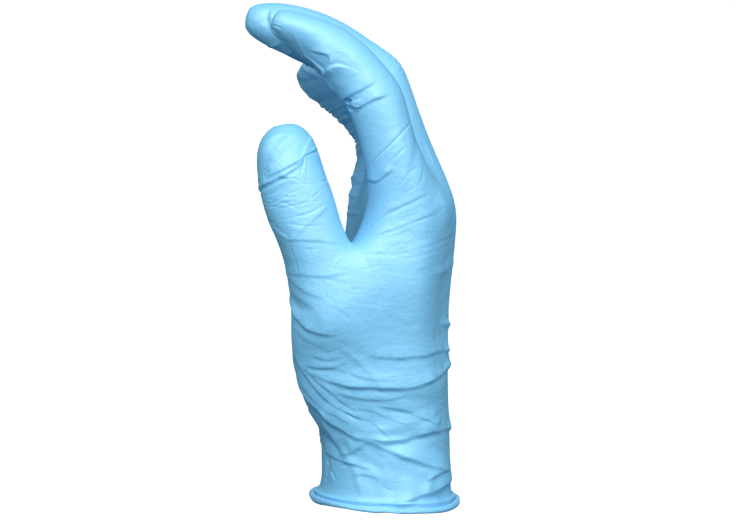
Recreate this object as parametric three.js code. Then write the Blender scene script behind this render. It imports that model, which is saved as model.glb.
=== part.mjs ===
// A disposable nitrile examination glove, in the form it takes on a right hand that is closing round a cup.
// It is one dipped film: cuff, palm and five digits, with a bead rolled at the cuff's edge.
// Frame, in millimetres: the origin is the centre of the cuff's mouth, +Z runs up to the fingers,
// -X is the palm's side and -Y is the thumb's side.
import * as THREE from "three";
import { mergeVertices } from "three/addons/utils/BufferGeometryUtils.js";

// The film. The real one is 0.1 mm thick, and a solid wall of it has to be thicker.
const FILM_WALL = 1.0;
const FILM_COLOUR = 0x8cccf2;
const FILM_ROUGHNESS = 0.42;

// The cuff, a slightly flattened tube with a rolled edge.
const CUFF_DEPTH = 48.6;
const CUFF_BREADTH = 61;
const BEAD_RADIUS = 2.2;
const BEAD_FACETS = 6;

// The palm, from the cuff's mouth to the knuckles. The middle finger's knuckle stands nearest the back, at a
// share of the cuff's half depth, and cupping is how far the little finger's lies towards the palm from it.
const KNUCKLE_HEIGHT = 111;
const KNUCKLE_BACK = 0.638;
const KNUCKLE_RIDGE = 1.3;
const CUPPING = 18.5;
const THENAR_BULGE = 23;
const FINGER_GAP = 1.5;
const WEB_RISE = 19;
const WEB_DIP = 3.5;
const ROOT_BACK = 0.87;

// The slack of the film about the wrist, as the height and breadth of a full fold.
const FOLD_HEIGHT = 1.5;
const FOLD_BREADTH = 6.5;

// The fingers. Lengths run from joint to joint, leans are from upright towards the palm's side in degrees,
// and splay is towards the little finger. Drop is how far the knuckle lies towards the palm's side of the
// middle finger's, as a share of the cupping, and lag is how far it lies below it. Pad is the pad at the
// finger's root, as a share of its half depth.
const FINGERS = [
  { name: "index", proximal: 41.5, middle: 22.5, distal: 26, breadth: 20, depth: 21,
    leans: [17.5, 41, 64], splay: -3, drop: 0.34, lag: 1.5, pad: 1.08, tip: "pinched" },
  { name: "middle", proximal: 49, middle: 28.5, distal: 28.5, breadth: 20, depth: 21,
    leans: [21.4, 54, 76.5], splay: -0.5, drop: 0, lag: 0, pad: 1.08, tip: "round" },
  { name: "ring", proximal: 44, middle: 25, distal: 24.5, breadth: 18.5, depth: 19,
    leans: [16, 44, 70], splay: 3, drop: 0.4, lag: 2, pad: 1.08, tip: "round" },
  { name: "little", proximal: 38, middle: 19.5, distal: 21, breadth: 17, depth: 17.4,
    leans: [0, 48, 54], splay: 9, drop: 0.97, lag: 9, pad: 1.28, tip: "round" },
];

// The thumb. Its metacarpal starts at the wrist, at shares of the cuff's half depth and half breadth and of the
// knuckle height, and its rings fan out round the web to the palm.
const THUMB = {
  root: { mid: -0.325, thumb: 0.656, rise: 0.319 },
  metacarpal: 46.9, proximal: 33.6, distal: 30.3,
  leans: [18.7, 16.5, 8.4], sways: [13.8, 5, -5],
  breadth: 24.6, depth: 21.5,
};

const RING_POINTS = 10;
const FINGER_SPAN = 3;
const LAST_COLUMN = FINGER_SPAN * FINGERS.length;
const PALM_POINTS = 2 * (LAST_COLUMN + 2);
const EDGE_SHARE = 0.94;

// Sections of the palm. Rise is a share of the knuckle height. Mid and half are the section's middle and half
// depth along X, as shares of the cuff's half depth. Thumb and little are how far its two sides along Y have
// spread, from the cuff's half breadth at 0 to the knuckles' at 1. Cup and thenar are shares of the cupping and of
// the thenar bulge, and full is the power of its rounded outline, 2 for an ellipse.
const PALM_SECTIONS = [
  { rise: 0.11, mid: 0.01, half: 0.985, thumb: 0, little: 0, cup: 0, thenar: 0, full: 2.2 },
  { rise: 0.185, mid: 0.0, half: 0.98, thumb: -0.03, little: -0.03, cup: 0, thenar: 0, full: 2.2 },
  { rise: 0.25, mid: 0.0, half: 0.98, thumb: 0, little: 0, cup: 0, thenar: 0.1, full: 2.2 },
  { rise: 0.31, mid: -0.02, half: 0.98, thumb: 0.16, little: 0.1, cup: 0, thenar: 0.26, full: 2.2 },
  { rise: 0.41, mid: 0.02, half: 0.94, thumb: 0.45, little: 0.32, cup: 0.1, thenar: 0.56, full: 2.3 },
  { rise: 0.54, mid: 0.08, half: 0.87, thumb: 0.74, little: 0.61, cup: 0.3, thenar: 1, full: 2.4 },
  { rise: 0.73, mid: 0.23, half: 0.76, thumb: 0.94, little: 0.81, cup: 0.5, thenar: 0.45, full: 2.5 },
  { rise: 0.91, mid: 0.43, half: 0.65, thumb: 1, little: 0.94, cup: 0.75, thenar: 0.1, full: 2.8 },
  { rise: 1.02, mid: 0.47, half: 0.6, thumb: 1, little: 1, cup: 0.85, thenar: 0, full: 2.8 },
];
const THUMB_HOLE = { row: 6, column: 25, rows: 2, columns: 3 };

// How much of the thenar bulge each column near the thumb takes, from the thumb's edge across the palm.
const THENAR_SPREAD = [0.55, 0.9, 1, 0.8, 0.45, 0.15];
const THENAR_EDGE = 0.25;
const THENAR_LEAN = 0.3;

// Rings of a finger. Joint counts the joints from the knuckle at 0 to the tip at 3. Back, front and side are
// shares of the finger's half depth and half breadth.
const FINGER_RINGS = {
  round: [
    { joint: 0.66, back: 0.84, front: 1.0, side: 0.95 },
    { joint: 0.95, back: 1.08, front: 0.9, side: 0.97 },
    { joint: 1.15, back: 1.02, front: 0.92, side: 0.95 },
    { joint: 1.6, back: 0.9, front: 0.96, side: 0.91 },
    { joint: 1.97, back: 0.88, front: 0.8, side: 0.88 },
    { joint: 2.35, back: 0.8, front: 0.88, side: 0.84 },
    { joint: 2.7, back: 0.66, front: 0.76, side: 0.74 },
    { joint: 2.94, back: 0.38, front: 0.42, side: 0.42 },
  ],
  pinched: [
    { joint: 0.66, back: 0.8, front: 1.02, side: 0.95 },
    { joint: 0.95, back: 0.98, front: 0.96, side: 0.97 },
    { joint: 1.15, back: 0.98, front: 0.94, side: 0.95 },
    { joint: 1.6, back: 0.88, front: 0.96, side: 0.91 },
    { joint: 1.97, back: 0.88, front: 0.82, side: 0.88 },
    { joint: 2.35, back: 0.74, front: 0.8, side: 0.84 },
    { joint: 2.7, back: 0.56, front: 0.56, side: 0.74 },
    { joint: 2.97, back: 0.4, front: 0.38, side: 0.52 },
  ],
};

// Rings of the thumb, from the palm out. Joint counts from the wrist at 0 to the tip at 3. Fan turns the ring's
// plane about the web, in degrees. Out and in are shares of the half breadth away from and towards the palm, and
// side is a share of the half depth.
const THUMB_RINGS = [
  { joint: 1.16, fan: 26, out: 1.25, in: 1.22, side: 1.12 },
  { joint: 1.48, fan: 9, out: 0.84, in: 1.16, side: 1.05 },
  { joint: 1.78, fan: 0, out: 0.89, in: 1.03, side: 1.02 },
  { joint: 2.05, fan: 0, out: 0.98, in: 0.97, side: 0.98 },
  { joint: 2.35, fan: 0, out: 0.99, in: 0.93, side: 0.95 },
  { joint: 2.63, fan: 0, out: 0.92, in: 0.86, side: 0.86 },
  { joint: 2.84, fan: 0, out: 0.7, in: 0.66, side: 0.64 },
  { joint: 2.97, fan: 0, out: 0.34, in: 0.32, side: 0.32 },
];

// The main folds where the film is slack about the wrist and cuff. From and to are the bearings of a fold's ends
// about the vertical, in degrees from the back of the hand towards the little finger. Starts and ends are its
// heights there and sag is how far its middle hangs below them, as shares of the knuckle height. Height and
// breadth are shares of a full fold's, whose ridge has a trough below it.
const FOLDS = [
  { from: -142, to: -2, starts: 0.423, ends: 0.468, sag: 0.063, height: 1, breadth: 1 },
  { from: -168, to: -18, starts: 0.333, ends: 0.108, sag: 0.027, height: 0.93, breadth: 0.92 },
  { from: -172, to: -92, starts: 0.423, ends: 0.243, sag: 0.018, height: 0.73, breadth: 0.77 },
  { from: -2, to: 120, starts: 0.459, ends: 0.36, sag: 0.045, height: 0.8, breadth: 1 },
  { from: 20, to: 175, starts: 0.252, ends: 0.324, sag: 0.063, height: 0.93, breadth: 1 },
  { from: 95, to: 178, starts: 0.135, ends: 0.198, sag: -0.027, height: 0.73, breadth: 0.92 },
];

// How much more a fold stands out than it sinks in.
const RIDGE_SHARE = 0.6;

const radians = THREE.MathUtils.degToRad;
const vector = (x, y, z) => new THREE.Vector3(x, y, z);
const mean = (points) => points.reduce((sum, p) => sum.add(p), vector(0, 0, 0)).divideScalar(points.length);

// A ring of few control points rounds off to a smaller circle when it is subdivided, and this undoes that.
const ROUNDING = 3 / (2 + Math.cos((2 * Math.PI) / RING_POINTS));

// The control cage: shared points, and faces that list their corners counter-clockwise from outside.
const cage = { points: [], faces: [] };
const addPoint = (point) => cage.points.push(point) - 1;
const addRing = (points) => points.map(addPoint);

function bridge(lower, upper) {
  lower.forEach((corner, i) => {
    const next = (i + 1) % lower.length;
    cage.faces.push([corner, lower[next], upper[next], upper[i]]);
  });
}

// Where the fingers stand side by side across the knuckles.
const halfDepth = CUFF_DEPTH / 2;
const halfBreadth = CUFF_BREADTH / 2;
const knuckleBreadth =
  FINGERS.reduce((sum, finger) => sum + finger.breadth, 0) + FINGER_GAP * (FINGERS.length - 1);
let fingerEdge = -knuckleBreadth / 2;
for (const finger of FINGERS) {
  finger.knuckle = vector(
    halfDepth * KNUCKLE_BACK - CUPPING * finger.drop,
    fingerEdge + finger.breadth / 2,
    KNUCKLE_HEIGHT - finger.lag,
  );
  fingerEdge += finger.breadth + FINGER_GAP;
}

// A finger's value at a column of the palm, shared between the two nearest fingers.
function fingerValue(key, column) {
  const place = THREE.MathUtils.clamp((column - FINGER_SPAN / 2) / FINGER_SPAN, 0, FINGERS.length - 1);
  const finger = Math.min(Math.floor(place), FINGERS.length - 2);
  return THREE.MathUtils.lerp(FINGERS[finger][key], FINGERS[finger + 1][key], place - finger);
}

// One section of the palm: the thumb's edge, the back's columns, the little finger's edge, and then the front's.
function palmRing(section) {
  const spread = (share) => THREE.MathUtils.lerp(halfBreadth, knuckleBreadth / 2, share);
  const centreY = (spread(section.little) - spread(section.thumb)) / 2;
  const reach = (spread(section.little) + spread(section.thumb)) / 2;
  const place = (column, share, side) => {
    const round = (1 - Math.abs(share) ** section.full) ** (1 / section.full);
    const middle = halfDepth * section.mid - CUPPING * section.cup * fingerValue("drop", column);
    const depth = side * halfDepth * section.half * round;
    const crest = 0.5 - 0.5 * Math.cos((2 * Math.PI * column) / FINGER_SPAN);
    const ridge = side > 0 ? KNUCKLE_RIDGE * crest * section.cup : 0;
    const height = (KNUCKLE_HEIGHT - fingerValue("lag", column) * section.cup) * section.rise;
    return vector(middle + depth + ridge, centreY + reach * share, height);
  };
  const swell = (point, share) => {
    const bulge = THENAR_BULGE * section.thenar * share;
    return point.add(vector(-bulge, -bulge * THENAR_LEAN, 0));
  };
  const columns = Array.from({ length: LAST_COLUMN + 1 }, (_, i) => i);
  const shareOf = (column) => EDGE_SHARE * ((2 * column) / LAST_COLUMN - 1);
  const back = columns.map((column) => place(column, shareOf(column), 1));
  const front = columns.map((column) =>
    swell(place(column, shareOf(column), -1), THENAR_SPREAD[column] ?? 0),
  );
  const thumbEdge = swell(place(0, -1, 1), THENAR_EDGE);
  const littleEdge = place(LAST_COLUMN, 1, 1);
  return [thumbEdge, ...back, littleEdge, ...front.reverse()];
}

const backColumn = (column) => 1 + column;
const frontColumn = (column) => PALM_POINTS - 1 - column;

// A digit's line from its joints, kept straight along each bone and rounded at the joints.
function digitLine(joints) {
  const points = [joints[0]];
  for (let bone = 0; bone < joints.length - 1; bone += 1) {
    for (const share of [0.25, 0.75]) points.push(joints[bone].clone().lerp(joints[bone + 1], share));
  }
  points.push(joints.at(-1));
  const curve = new THREE.CatmullRomCurve3(points, false, "centripetal");
  const spans = points.length - 1;
  const knots = [0, 0.25, 0.75, 1.25, 1.75, 2.25, 2.75, 3];
  const parameter = (joint) => {
    const span = Math.min(knots.findLastIndex((knot) => knot <= joint), spans - 1);
    return (span + (joint - knots[span]) / (knots[span + 1] - knots[span])) / spans;
  };
  return {
    at: (joint) => curve.getPoint(parameter(joint)),
    along: (joint) => curve.getTangent(parameter(joint)),
  };
}

// The points of a ring round a digit, from its first side and counter-clockwise as seen from the tip.
function digitRing({ centre, out, across, outHalf, inHalf, sideHalf, start }) {
  return Array.from({ length: RING_POINTS }, (_, i) => {
    const angle = start + (2 * Math.PI * i) / RING_POINTS;
    const reach = ROUNDING * Math.cos(angle) * (Math.cos(angle) > 0 ? outHalf : inHalf);
    const aside = ROUNDING * Math.sin(angle) * sideHalf;
    return centre.clone().addScaledVector(out, reach).addScaledVector(across, aside);
  });
}

function fingerDirections(finger) {
  const splay = radians(finger.splay);
  const directions = finger.leans.map((lean) => {
    const angle = radians(lean);
    return vector(-Math.sin(angle), Math.cos(angle) * Math.sin(splay), Math.cos(angle) * Math.cos(splay));
  });
  return { directions, across: vector(0, Math.cos(splay), -Math.sin(splay)) };
}

function jointsOf(start, directions, lengths) {
  const joints = [start.clone()];
  directions.forEach((direction, i) => joints.push(joints[i].clone().addScaledVector(direction, lengths[i])));
  return joints;
}

function fingerRing(finger, line, across, row) {
  const along = line.along(row.joint);
  return digitRing({
    centre: line.at(row.joint),
    out: across.clone().cross(along).normalize(),
    across,
    outHalf: (finger.depth / 2) * row.back,
    inHalf: (finger.depth / 2) * row.front,
    sideHalf: (finger.breadth / 2) * row.side,
    start: -Math.PI / 2,
  });
}

// The palm, with the thumb's hole left open.
const palmRows = PALM_SECTIONS.map((section) => addRing(palmRing(section)));
const cuffRow = addRing(palmRing({ ...PALM_SECTIONS[0], rise: cuffEdgeHeight() / KNUCKLE_HEIGHT }));
palmRows.unshift(cuffRow);

function cuffEdgeHeight() {
  return BEAD_RADIUS + Math.sqrt(BEAD_RADIUS ** 2 - (BEAD_RADIUS - FILM_WALL) ** 2);
}

// The fingers' first rings share the web row, whose corners lie between two fingers.
const fingerLines = FINGERS.map((finger) => {
  const { directions, across } = fingerDirections(finger);
  const lengths = [finger.proximal, finger.middle, finger.distal];
  return { finger, across, line: digitLine(jointsOf(finger.knuckle, directions, lengths)) };
});
const firstRings = fingerLines.map(({ finger, across, line }) => {
  const joint = WEB_RISE / finger.proximal;
  return fingerRing(finger, line, across, { joint, back: ROOT_BACK, front: finger.pad, side: 1 });
});
const dip = vector(0, 0, -WEB_DIP);
const webRow = new Array(PALM_POINTS);
const webPoints = [];
webRow[0] = addPoint(firstRings[0][0]);
webRow[backColumn(LAST_COLUMN) + 1] = addPoint(firstRings.at(-1)[RING_POINTS / 2]);
for (let column = 0; column <= LAST_COLUMN; column += 1) {
  const finger = Math.min(Math.floor(column / FINGER_SPAN), FINGERS.length - 1);
  const place = column - finger * FINGER_SPAN;
  const between = place === 0 && column > 0;
  const backs = [firstRings[finger][1 + place]];
  const fronts = [firstRings[finger][RING_POINTS - 1 - place]];
  if (between) {
    backs.push(firstRings[finger - 1][1 + FINGER_SPAN]);
    fronts.push(firstRings[finger - 1][RING_POINTS - 1 - FINGER_SPAN]);
    const middle = mean([firstRings[finger][0], firstRings[finger - 1][RING_POINTS / 2]]);
    webPoints[column] = addPoint(middle.add(dip));
  }
  const sink = between ? dip : vector(0, 0, 0);
  webRow[backColumn(column)] = addPoint(mean(backs).addScaledVector(sink, 0.6));
  webRow[frontColumn(column)] = addPoint(mean(fronts).addScaledVector(sink, 0.6));
}
palmRows.push(webRow);

const inHole = (row, column) =>
  row >= THUMB_HOLE.row &&
  row < THUMB_HOLE.row + THUMB_HOLE.rows &&
  column >= THUMB_HOLE.column &&
  column < THUMB_HOLE.column + THUMB_HOLE.columns;
for (let row = 0; row < palmRows.length - 1; row += 1) {
  const [lower, upper] = [palmRows[row], palmRows[row + 1]];
  lower.forEach((corner, column) => {
    const next = (column + 1) % PALM_POINTS;
    if (!inHole(row, column)) cage.faces.push([corner, lower[next], upper[next], upper[column]]);
  });
}

// Each finger rises from its part of the web row.
fingerLines.forEach(({ finger, across, line }, i) => {
  const first = i * FINGER_SPAN;
  const columns = Array.from({ length: FINGER_SPAN + 1 }, (_, step) => first + step);
  const side = (column, edge) => webPoints[column] ?? webRow[edge];
  let lower = [
    side(first, 0),
    ...columns.map((column) => webRow[backColumn(column)]),
    side(first + FINGER_SPAN, backColumn(LAST_COLUMN) + 1),
    ...columns.reverse().map((column) => webRow[frontColumn(column)]),
  ];
  for (const row of FINGER_RINGS[finger.tip]) {
    const upper = addRing(fingerRing(finger, line, across, row));
    bridge(lower, upper);
    lower = upper;
  }
  cage.faces.push(lower);
});

// The thumb rises from the hole in the palm.
function thumbDirection(lean, sway) {
  const [leaning, swaying] = [radians(lean), radians(sway)];
  return vector(
    -Math.sin(leaning) * Math.cos(swaying),
    -Math.sin(swaying),
    Math.cos(leaning) * Math.cos(swaying),
  );
}
const thumbRoot = vector(
  halfDepth * THUMB.root.mid,
  -halfBreadth * THUMB.root.thumb,
  KNUCKLE_HEIGHT * THUMB.root.rise,
);
const thumbDirections = THUMB.leans.map((lean, i) => thumbDirection(lean, THUMB.sways[i]));
const thumbLine = digitLine(
  jointsOf(thumbRoot, thumbDirections, [THUMB.metacarpal, THUMB.proximal, THUMB.distal]),
);
function thumbRing(row) {
  const along = thumbLine.along(row.joint);
  const across = along.clone().cross(vector(-1, 0, 0)).normalize();
  along.applyAxisAngle(across, radians(row.fan));
  return digitRing({
    centre: thumbLine.at(row.joint),
    out: across.clone().cross(along).normalize(),
    across,
    outHalf: (THUMB.breadth / 2) * row.out,
    inHalf: (THUMB.breadth / 2) * row.in,
    sideHalf: (THUMB.depth / 2) * row.side,
    start: (-1.5 * 2 * Math.PI) / RING_POINTS,
  });
}
function holeLoop({ row, column, rows, columns }) {
  const corner = (r, c) => palmRows[r][c % PALM_POINTS];
  const loop = [];
  for (let c = 0; c < columns; c += 1) loop.push(corner(row, column + c));
  for (let r = 0; r < rows; r += 1) loop.push(corner(row + r, column + columns));
  for (let c = columns; c > 0; c -= 1) loop.push(corner(row + rows, column + c));
  for (let r = rows; r > 0; r -= 1) loop.push(corner(row + r, column));
  return loop;
}
const thumbLoops = [holeLoop(THUMB_HOLE), ...THUMB_RINGS.map((row) => addRing(thumbRing(row)))];
for (let i = 1; i < thumbLoops.length; i += 1) bridge(thumbLoops[i - 1], thumbLoops[i]);
cage.faces.push(thumbLoops.at(-1));

// One step of Catmull-Clark subdivision, which rounds the cage off. The cuff's open edge stays an edge.
function subdivide({ points, faces }) {
  const edges = new Map();
  const edgeKey = (a, b) => (a < b ? `${a},${b}` : `${b},${a}`);
  const centres = faces.map((face) => mean(face.map((corner) => points[corner])));
  const around = points.map(() => ({ faces: [], middles: [], rim: [] }));
  faces.forEach((face, f) => {
    face.forEach((corner, i) => {
      const next = face[(i + 1) % face.length];
      const key = edgeKey(corner, next);
      if (!edges.has(key)) edges.set(key, { ends: [corner, next], faces: [] });
      edges.get(key).faces.push(f);
      around[corner].faces.push(f);
    });
  });
  for (const edge of edges.values()) {
    const middle = mean(edge.ends.map((end) => points[end]));
    const open = edge.faces.length === 1;
    edge.point = open ? middle : mean([middle, middle, ...edge.faces.map((f) => centres[f])]);
    for (const end of edge.ends) {
      around[end].middles.push(middle);
      if (open) around[end].rim.push(middle);
    }
  }
  const moved = points.map((point, i) => {
    const { faces: near, middles, rim } = around[i];
    if (rim.length) return mean([point, mean(rim)]);
    const count = near.length;
    const pull = mean(near.map((f) => centres[f])).addScaledVector(mean(middles), 2);
    return pull.addScaledVector(point, count - 3).divideScalar(count);
  });
  const result = { points: [...moved], faces: [] };
  const centreIds = centres.map((centre) => result.points.push(centre) - 1);
  for (const edge of edges.values()) edge.id = result.points.push(edge.point) - 1;
  faces.forEach((face, f) => {
    face.forEach((corner, i) => {
      const next = edges.get(edgeKey(corner, face[(i + 1) % face.length])).id;
      const last = edges.get(edgeKey(face.at(i - 1), corner)).id;
      result.faces.push([corner, next, centreIds[f], last]);
    });
  });
  return result;
}

// Draws the skin taut where the thumb meets the palm: a point moves part of the way to its neighbours' mean.
function relax({ points, faces }, chosen, share, rounds) {
  const near = new Map(chosen.map((corner) => [corner, new Set()]));
  for (const face of faces) {
    face.forEach((corner, i) => {
      near.get(corner)?.add(face[(i + 1) % face.length]).add(face.at(i - 1));
    });
  }
  for (let round = 0; round < rounds; round += 1) {
    const drawn = chosen.map((corner) => mean([...near.get(corner)].map((other) => points[other])));
    chosen.forEach((corner, i) => points[corner].lerp(drawn[i], share));
  }
}

// A surface's normal at each point, out of the glove.
function normalsOf({ points, faces }) {
  const normals = points.map(() => vector(0, 0, 0));
  for (const face of faces) {
    const [a, b, c, d] = face.map((corner) => points[corner]);
    const normal = c.clone().sub(a).cross(d.clone().sub(b));
    for (const corner of face) normals[corner].add(normal);
  }
  return normals.map((normal) => normal.normalize());
}

// How far a fold lifts the film at a point: a ridge with a trough below it, fading out at the fold's ends.
function foldLift(fold, point) {
  const bearing = THREE.MathUtils.radToDeg(Math.atan2(point.y, point.x));
  const along = (bearing - fold.from) / (fold.to - fold.from);
  if (along <= 0 || along >= 1) return 0;
  const fade = Math.sin(Math.PI * along);
  const height = KNUCKLE_HEIGHT * (THREE.MathUtils.lerp(fold.starts, fold.ends, along) - fold.sag * fade);
  const away = (2 * (point.z - height)) / (FOLD_BREADTH * fold.breadth);
  return FOLD_HEIGHT * fold.height * Math.sqrt(fade) * (away + RIDGE_SHARE) * Math.exp(-away * away);
}

function crumple(surface) {
  const normals = normalsOf(surface);
  const lifts = surface.points.map((point) => FOLDS.reduce((sum, fold) => sum + foldLift(fold, point), 0));
  surface.points.forEach((point, i) => point.addScaledVector(normals[i], lifts[i]));
  return surface;
}

// The open edge at the cuff, in order, with the film on its left as seen from outside.
function openEdge({ faces }) {
  const used = new Set();
  const sides = faces.flatMap((face) => face.map((corner, i) => [corner, face[(i + 1) % face.length]]));
  for (const [start, end] of sides) used.add(`${start},${end}`);
  const follow = new Map(sides.filter(([start, end]) => !used.has(`${end},${start}`)));
  const loop = [follow.keys().next().value];
  while (follow.get(loop.at(-1)) !== loop[0]) loop.push(follow.get(loop.at(-1)));
  return loop;
}

// The film with its thickness: the outer surface, the same surface set in by the wall, and the bead between.
function thicken(surface) {
  const normals = normalsOf(surface);
  const outerCount = surface.points.length;
  const points = [...surface.points];
  surface.points.forEach((point, i) => points.push(point.clone().addScaledVector(normals[i], -FILM_WALL)));
  const faces = [...surface.faces];
  for (const face of surface.faces) faces.push(face.map((corner) => corner + outerCount).reverse());
  const rim = openEdge(surface);
  const outward = rim.map((corner) => normals[corner].clone().setZ(0).normalize());
  rim.forEach((corner, i) => {
    points[corner + outerCount] = points[corner].clone().addScaledVector(outward[i], -FILM_WALL);
  });
  const first = Math.atan2(cuffEdgeHeight() - BEAD_RADIUS, FILM_WALL - BEAD_RADIUS);
  const last = -Math.PI;
  let lower = rim;
  for (let step = 1; step <= BEAD_FACETS; step += 1) {
    const angle = THREE.MathUtils.lerp(first, last, step / BEAD_FACETS);
    const ring = rim.map((corner, i) => {
      const point = points[corner].clone();
      point.addScaledVector(outward[i], BEAD_RADIUS - FILM_WALL + BEAD_RADIUS * Math.cos(angle));
      return points.push(point.setZ(BEAD_RADIUS + BEAD_RADIUS * Math.sin(angle))) - 1;
    });
    bridgeRim(faces, lower, ring);
    lower = ring;
  }
  bridgeRim(faces, lower, rim.map((corner) => corner + outerCount));
  return { points, faces };
}

function bridgeRim(faces, upper, lower) {
  upper.forEach((corner, i) => {
    const next = (i + 1) % upper.length;
    faces.push([upper[next], corner, lower[i], lower[next]]);
  });
}

// Each four-sided face becomes two triangles, split across its shorter diagonal.
function geometryOf({ points, faces }) {
  const index = [];
  for (const [a, b, c, d] of faces) {
    const acrossFirst = points[a].distanceTo(points[c]) < points[b].distanceTo(points[d]);
    index.push(...(acrossFirst ? [a, b, c, a, c, d] : [a, b, d, b, c, d]));
  }
  const geometry = new THREE.BufferGeometry().setFromPoints(points);
  geometry.setIndex(index);
  const merged = mergeVertices(geometry);
  merged.computeVertexNormals();
  return merged;
}

const film = new THREE.MeshStandardMaterial({
  name: "nitrile_film",
  color: FILM_COLOUR,
  roughness: FILM_ROUGHNESS,
  metalness: 0,
});
relax(cage, [...thumbLoops[0], ...thumbLoops[1]], 0.5, 2);
const glove = new THREE.Mesh(geometryOf(thicken(crumple(subdivide(cage)))), film);
glove.name = "glove";

const part = new THREE.Group();
part.add(glove);

export default part;
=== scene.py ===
# %% [markdown]
# # A nitrile exam glove
# The real glove is one dipped film, a tenth of a millimetre thick, in the form that it takes when it is worn
# with its fingers curled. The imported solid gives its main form: cuff, palm, thumb and four fingers. What it
# leaves out is what makes a thin film look like one. So this script takes a copy of the solid, rolls the bead
# at its cuff, rounds it off, lays the film's folds and creases on it, and gives it nitrile's satin finish.

import math
import random

import bpy
import numpy as np
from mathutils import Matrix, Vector, noise
from mathutils.bvhtree import BVHTree


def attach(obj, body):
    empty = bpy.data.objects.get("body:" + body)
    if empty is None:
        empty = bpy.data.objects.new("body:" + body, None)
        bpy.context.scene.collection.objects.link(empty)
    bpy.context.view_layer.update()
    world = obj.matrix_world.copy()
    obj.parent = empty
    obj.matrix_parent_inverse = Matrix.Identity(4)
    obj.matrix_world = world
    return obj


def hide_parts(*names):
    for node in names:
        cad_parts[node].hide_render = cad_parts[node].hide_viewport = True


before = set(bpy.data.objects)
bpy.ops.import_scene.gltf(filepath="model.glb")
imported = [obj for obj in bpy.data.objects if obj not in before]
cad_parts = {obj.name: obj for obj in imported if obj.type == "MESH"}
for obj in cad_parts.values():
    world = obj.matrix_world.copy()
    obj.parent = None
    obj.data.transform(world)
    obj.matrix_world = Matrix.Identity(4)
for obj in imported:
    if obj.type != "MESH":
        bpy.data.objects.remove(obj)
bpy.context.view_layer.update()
MM = 0.001

# %% [markdown]
# ## The camera
# The glove is seen from the thumb's side, a little above its middle, with a long lens. The camera comes
# first, because the folds on the thumb's side are placed by where they lie in the picture.

# %% Place the camera
PICTURE_WIDTH, PICTURE_HEIGHT = 736, 522
MM_PER_PIXEL = 0.37
CAMERA_DISTANCE = 850 * MM
CAMERA_ELEVATION = math.radians(1.5)
CAMERA_AIM = Vector((-6.5, 0, 90)) * MM

away = Vector((0, -math.cos(CAMERA_ELEVATION), math.sin(CAMERA_ELEVATION)))
bpy.ops.object.camera_add(
    location=CAMERA_AIM + away * CAMERA_DISTANCE,
    rotation=(math.pi / 2 - CAMERA_ELEVATION, 0, 0),
)
camera = bpy.context.object
camera.data.sensor_width = 36
camera.data.lens = 36 * CAMERA_DISTANCE / (PICTURE_WIDTH * MM_PER_PIXEL * MM)
camera.data.clip_start, camera.data.clip_end = 0.05, 20
bpy.context.scene.camera = camera
print("lens", round(camera.data.lens, 1), "mm")

# %% [markdown]
# ## The film
# A fold can only be as sharp as the mesh below it is fine. The solid's triangles are joined back into quads,
# so that Subdivision Surface can round them without ripples. Its outer skin is cut free from its lining, the
# side that lies within, so that only the outer skin gets the fine mesh.


# %% Copy the solid and split it into skin and lining
def pick(*objects):
    bpy.ops.object.select_all(action="DESELECT")
    for obj in objects:
        obj.select_set(True)
    bpy.context.view_layer.objects.active = objects[0]


def delete_faces(obj, test):
    """Deletes the faces whose centre passes the test."""
    pick(obj)
    bpy.ops.object.mode_set(mode="EDIT")
    bpy.ops.mesh.select_all(action="DESELECT")
    bpy.ops.object.mode_set(mode="OBJECT")
    for face in obj.data.polygons:
        face.select = test(face.center)
    bpy.ops.object.mode_set(mode="EDIT")
    bpy.ops.mesh.delete(type="FACE")
    bpy.ops.object.mode_set(mode="OBJECT")


def copy_of(obj, name):
    twin = bpy.data.objects.new(name, obj.data.copy())
    bpy.context.scene.collection.objects.link(twin)
    return twin


def points_of(obj):
    flat = np.empty(len(obj.data.vertices) * 3)
    obj.data.vertices.foreach_get("co", flat)
    return flat.reshape(-1, 3) / MM


def move_points(obj, points):
    obj.data.vertices.foreach_set("co", (points * MM).ravel())
    obj.data.update()


def normals_of(obj):
    flat = np.empty(len(obj.data.vertices) * 3, np.float32)
    obj.data.vertex_normals.foreach_get("vector", flat)
    return flat.reshape(-1, 3)


BEAD_TOP = 3.9 * MM

film = copy_of(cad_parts["glove"], "glove_film")
pick(film)
bpy.ops.object.mode_set(mode="EDIT")
bpy.ops.mesh.select_all(action="SELECT")
bpy.ops.mesh.remove_doubles(threshold=1e-6)
bpy.ops.mesh.tris_convert_to_quads(face_threshold=0.9, shape_threshold=1.2)
bpy.ops.object.mode_set(mode="OBJECT")
delete_faces(film, lambda centre: centre.z < BEAD_TOP)
bpy.ops.object.mode_set(mode="EDIT")
bpy.ops.mesh.separate(type="LOOSE")
bpy.ops.object.mode_set(mode="OBJECT")
shells = sorted(bpy.context.selected_objects, key=lambda obj: -sum(p.area for p in obj.data.polygons))
film, lining = shells
print("skin", len(film.data.polygons), "faces, lining", len(lining.data.polygons))

# %% [markdown]
# ## The bead
# The cuff ends in film rolled up on itself, which is why it looks like a soft cord with a dark line where
# the film runs into it. It is drawn out of the skin's own edge: the edge loop is extruded again and again,
# first down into the groove and then round the roll, and the last loop is bridged to the lining. The roll is
# uneven all the way round. On the thumb's side, at the front of the picture, it is thinner and lies lower.

# %% Roll the bead
ROLL_OUT = 0.35
ROLL_UP = 2.0
ROLL_RADIUS = 1.3
GROOVE = (-0.95, 2.35)
ROLL_TURNS = [160, 138, 112, 84, 54, 24, -6, -36, -66, -96, -126, -156, -182]
FRONT_BEARING = -85
FRONT_WIDTH = 42
FRONT_THINNER, FRONT_LOWER = 0.35, 0.85
COLLAR_TOP = 11
BRIDGE_TOP = 8
LINING_FOOT = 7


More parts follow.
